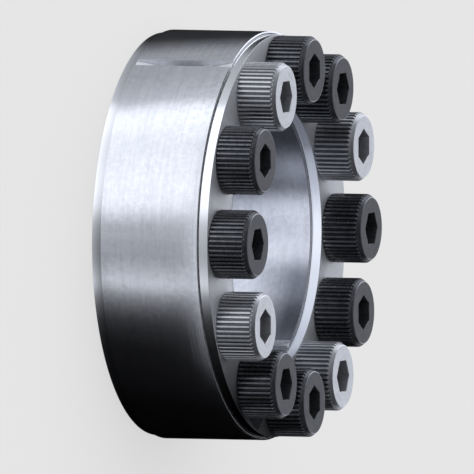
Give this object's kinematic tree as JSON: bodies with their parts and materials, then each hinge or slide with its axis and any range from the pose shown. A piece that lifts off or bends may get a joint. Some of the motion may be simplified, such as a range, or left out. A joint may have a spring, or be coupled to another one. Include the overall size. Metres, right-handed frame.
{
  "type": "shaft locking assembly",
  "caption": "Keyless shaft locking assembly: slit outer and inner rings with double tapers, front and rear thrust rings, and a circle of knurled socket-head clamp screws.",
  "frame": {"origin": "centre of the rear face, on the bore axis", "axes": "+Z along the bore axis towards the screw heads; +X from the bore axis to clamp_screw_01"},
  "size_m": [0.08, 0.08, 0.032],
  "materials": {
    "ring_steel": "fine turned, lightly oiled",
    "black_oxide_steel": "black oxide, satin",
    "zinc_plated_steel": "bright zinc plating, satin"
  },
  "bodies": {
    "contact_rings": {"rear_thrust_ring": "ring_steel", "outer_ring": "ring_steel", "inner_ring": "ring_steel"},
    "front_ring": {"front_thrust_ring": "ring_steel"},
    "screw_01": {"clamp_screw_01": "black_oxide_steel"},
    "screw_02": {"clamp_screw_02": "zinc_plated_steel"},
    "screw_03": {"clamp_screw_03": "black_oxide_steel"},
    "screw_04": {"clamp_screw_04": "black_oxide_steel"},
    "screw_05": {"clamp_screw_05": "zinc_plated_steel"},
    "screw_06": {"clamp_screw_06": "black_oxide_steel"},
    "screw_07": {"clamp_screw_07": "black_oxide_steel"},
    "screw_08": {"clamp_screw_08": "zinc_plated_steel"},
    "screw_09": {"clamp_screw_09": "black_oxide_steel"},
    "screw_10": {"clamp_screw_10": "black_oxide_steel"},
    "screw_11": {"clamp_screw_11": "zinc_plated_steel"},
    "screw_12": {"clamp_screw_12": "black_oxide_steel"}
  },
  "joints": [
    {"name": "front_ring_slide", "type": "slide", "parent": "contact_rings", "child": "front_ring", "axis": [0, 0, 1], "range_m": [0, 0.005]},
    {"name": "screw_01_turn", "type": "hinge", "parent": "front_ring", "child": "screw_01", "pos_m": [0.0325, 0, 0.024], "axis": [0, 0, 1], "range_deg": [0, 1440]},
    {"name": "screw_02_turn", "type": "hinge", "parent": "front_ring", "child": "screw_02", "pos_m": [0.02815, 0.01625, 0.024], "axis": [0, 0, 1], "range_deg": [0, 1440]},
    {"name": "screw_03_turn", "type": "hinge", "parent": "front_ring", "child": "screw_03", "pos_m": [0.01625, 0.02815, 0.024], "axis": [0, 0, 1], "range_deg": [0, 1440]},
    {"name": "screw_04_turn", "type": "hinge", "parent": "front_ring", "child": "screw_04", "pos_m": [0, 0.0325, 0.024], "axis": [0, 0, 1], "range_deg": [0, 1440]},
    {"name": "screw_05_turn", "type": "hinge", "parent": "front_ring", "child": "screw_05", "pos_m": [-0.01625, 0.02815, 0.024], "axis": [0, 0, 1], "range_deg": [0, 1440]},
    {"name": "screw_06_turn", "type": "hinge", "parent": "front_ring", "child": "screw_06", "pos_m": [-0.02815, 0.01625, 0.024], "axis": [0, 0, 1], "range_deg": [0, 1440]},
    {"name": "screw_07_turn", "type": "hinge", "parent": "front_ring", "child": "screw_07", "pos_m": [-0.0325, 0, 0.024], "axis": [0, 0, 1], "range_deg": [0, 1440]},
    {"name": "screw_08_turn", "type": "hinge", "parent": "front_ring", "child": "screw_08", "pos_m": [-0.02815, -0.01625, 0.024], "axis": [0, 0, 1], "range_deg": [0, 1440]},
    {"name": "screw_09_turn", "type": "hinge", "parent": "front_ring", "child": "screw_09", "pos_m": [-0.01625, -0.02815, 0.024], "axis": [0, 0, 1], "range_deg": [0, 1440]},
    {"name": "screw_10_turn", "type": "hinge", "parent": "front_ring", "child": "screw_10", "pos_m": [0, -0.0325, 0.024], "axis": [0, 0, 1], "range_deg": [0, 1440]},
    {"name": "screw_11_turn", "type": "hinge", "parent": "front_ring", "child": "screw_11", "pos_m": [0.01625, -0.02815, 0.024], "axis": [0, 0, 1], "range_deg": [0, 1440]},
    {"name": "screw_12_turn", "type": "hinge", "parent": "front_ring", "child": "screw_12", "pos_m": [0.02815, -0.01625, 0.024], "axis": [0, 0, 1], "range_deg": [0, 1440]}
  ],
  "couplings": [
    {"joint": "screw_01_turn", "follows": "front_ring_slide", "rad_per_m": 5026.5},
    {"joint": "screw_02_turn", "follows": "front_ring_slide", "rad_per_m": 5026.5},
    {"joint": "screw_03_turn", "follows": "front_ring_slide", "rad_per_m": 5026.5},
    {"joint": "screw_04_turn", "follows": "front_ring_slide", "rad_per_m": 5026.5},
    {"joint": "screw_05_turn", "follows": "front_ring_slide", "rad_per_m": 5026.5},
    {"joint": "screw_06_turn", "follows": "front_ring_slide", "rad_per_m": 5026.5},
    {"joint": "screw_07_turn", "follows": "front_ring_slide", "rad_per_m": 5026.5},
    {"joint": "screw_08_turn", "follows": "front_ring_slide", "rad_per_m": 5026.5},
    {"joint": "screw_09_turn", "follows": "front_ring_slide", "rad_per_m": 5026.5},
    {"joint": "screw_10_turn", "follows": "front_ring_slide", "rad_per_m": 5026.5},
    {"joint": "screw_11_turn", "follows": "front_ring_slide", "rad_per_m": 5026.5},
    {"joint": "screw_12_turn", "follows": "front_ring_slide", "rad_per_m": 5026.5}
  ]
}
